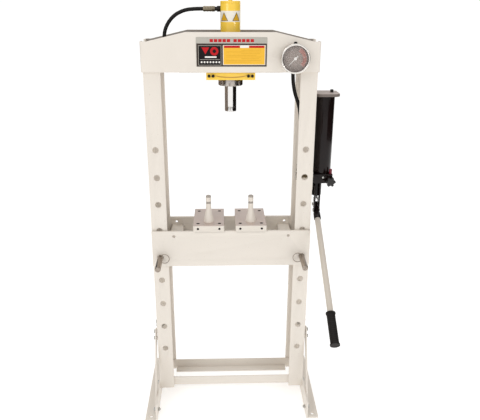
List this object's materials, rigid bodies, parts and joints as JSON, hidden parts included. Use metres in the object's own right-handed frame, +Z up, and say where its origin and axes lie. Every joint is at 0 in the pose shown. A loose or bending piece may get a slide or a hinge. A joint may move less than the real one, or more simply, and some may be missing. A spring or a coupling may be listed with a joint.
{
  "type": "hydraulic shop press",
  "caption": "Floor-standing hydraulic shop press: channel frame, pinned bed, press blocks, hand pump with lever, hoses and pressure gauge.",
  "frame": {"origin": "centre of the four floor anchor holes, at floor level, under the ram axis", "axes": "+Z up along the ram axis, +X to the side that carries the pump, +Y to the back"},
  "size_m": [0.7505, 0.7343, 1.6163],
  "materials": {
    "cream_enamel": "smooth sprayed enamel",
    "yellow_enamel": "glossy enamel",
    "zinc_steel": "zinc plated",
    "black_screws": "black oxide",
    "bright_steel": "turned",
    "hard_chrome": "ground chrome",
    "gauge_chrome": "polished",
    "dial_card": "printed matt",
    "pointer_white": "matt",
    "gauge_glass": "clear",
    "black_rubber": "matt",
    "plate_print": "printed sheet",
    "machined_block": "ground top",
    "post_enamel": "smooth enamel",
    "pump_enamel": "grey enamel",
    "black_enamel": "glossy black",
    "pole_enamel": "smooth enamel",
    "black_plastic": "moulded",
    "red_plastic": "moulded"
  },
  "bodies": {
    "frame": {"left_upright": "cream_enamel", "right_upright": "cream_enamel", "head_front_plate": "cream_enamel", "head_rear_plate": "cream_enamel", "head_floor": "cream_enamel", "front_crossbar": "cream_enamel", "rear_crossbar": "cream_enamel", "left_foot": "cream_enamel", "right_foot": "cream_enamel", "left_braces": "cream_enamel", "right_braces": "cream_enamel", "bed_front_plate": "cream_enamel", "bed_rear_plate": "cream_enamel", "bed_spacers": "cream_enamel", "pump_bracket": "cream_enamel", "cylinder_mount": "yellow_enamel", "cylinder_tube": "yellow_enamel", "cylinder_cap": "yellow_enamel", "frame_bolts": "zinc_steel", "port_adapter": "zinc_steel", "upper_hose_ends": "zinc_steel", "lower_hose_ends": "zinc_steel", "gauge_tee": "zinc_steel", "pump_elbow": "zinc_steel", "pump_bolts": "zinc_steel", "fulcrum_pin": "zinc_steel", "mount_screws": "black_screws", "cylinder_ring_nut": "bright_steel", "gauge_bezel": "gauge_chrome", "gauge_case": "gauge_chrome", "gauge_dial": "dial_card", "gauge_lens": "gauge_glass", "gauge_plug": "black_rubber", "upper_hose": "black_rubber", "lower_hose": "black_rubber", "nameplate": "plate_print", "reservoir_cap": "pump_enamel", "reservoir_tube": "black_enamel", "pump_block": "black_enamel", "fulcrum_ears": "black_enamel", "pump_barrel": "black_enamel", "relief_cap": "red_plastic"},
    "ram": {"ram_rod": "hard_chrome", "ram_tip": "hard_chrome"},
    "needle": {"gauge_pointer": "pointer_white"},
    "left_pin": {"left_bed_pin": "bright_steel"},
    "right_pin": {"right_bed_pin": "bright_steel"},
    "left_ring": {"left_pin_ring": "bright_steel"},
    "right_ring": {"right_pin_ring": "bright_steel"},
    "left_block": {"left_press_block": "machined_block", "left_block_post": "post_enamel"},
    "right_block": {"right_press_block": "machined_block", "right_block_post": "post_enamel"},
    "plunger": {"pump_plunger": "hard_chrome", "plunger_pin": "zinc_steel"},
    "handle": {"handle_socket": "black_enamel", "handle_pole": "pole_enamel", "handle_grip": "black_rubber"},
    "release": {"release_knob": "black_plastic"},
    "vent": {"vent_plug": "black_plastic"}
  },
  "joints": [
    {"name": "ram_slide", "type": "slide", "parent": "frame", "child": "ram", "axis": [0, 0, -1], "range_m": [0, 0.185], "stiffness_N_per_m": 320, "springref_m": -0.16},
    {"name": "handle_swing", "type": "hinge", "parent": "frame", "child": "handle", "pos_m": [0.333, -0.026, 0.84638], "axis": [-1, 0, 0], "range_deg": [0, 60]},
    {"name": "plunger_slide", "type": "slide", "parent": "frame", "child": "plunger", "axis": [0, 0, -1], "range_m": [0, 0.031]},
    {"name": "release_knob_turn", "type": "hinge", "parent": "frame", "child": "release", "pos_m": [0.375, -0.04, 0.972], "axis": [0, -1, 0], "range_deg": [0, 360]},
    {"name": "pointer_turn", "type": "hinge", "parent": "frame", "child": "needle", "pos_m": [0.22, -0.102, 1.427], "axis": [0, 1, 0], "range_deg": [0, 270]},
    {"name": "left_pin_pull", "type": "slide", "parent": "frame", "child": "left_pin", "axis": [0, -1, 0], "range_m": [0, 0.29]},
    {"name": "right_pin_pull", "type": "slide", "parent": "frame", "child": "right_pin", "axis": [0, -1, 0], "range_m": [0, 0.29]},
    {"name": "left_ring_swing", "type": "hinge", "parent": "left_pin", "child": "left_ring", "pos_m": [-0.275, -0.095, 0.6753], "axis": [0, 0, -1], "range_deg": [0, 60]},
    {"name": "right_ring_swing", "type": "hinge", "parent": "right_pin", "child": "right_ring", "pos_m": [0.275, -0.095, 0.6753], "axis": [0, 0, 1], "range_deg": [0, 60]},
    {"name": "left_block_slide", "type": "slide", "parent": "frame", "child": "left_block", "axis": [1, 0, 0], "range_m": [-0.095, 0.02]},
    {"name": "right_block_slide", "type": "slide", "parent": "frame", "child": "right_block", "axis": [1, 0, 0], "range_m": [-0.02, 0.105]},
    {"name": "vent_plug_turn", "type": "hinge", "parent": "frame", "child": "vent", "pos_m": [0.371, 0, 1.298], "axis": [0, 0, 1], "range_deg": [0, 360]}
  ],
  "couplings": [
    {"joint": "plunger_slide", "follows": "handle_swing", "m_per_rad": 0.028648}
  ]
}
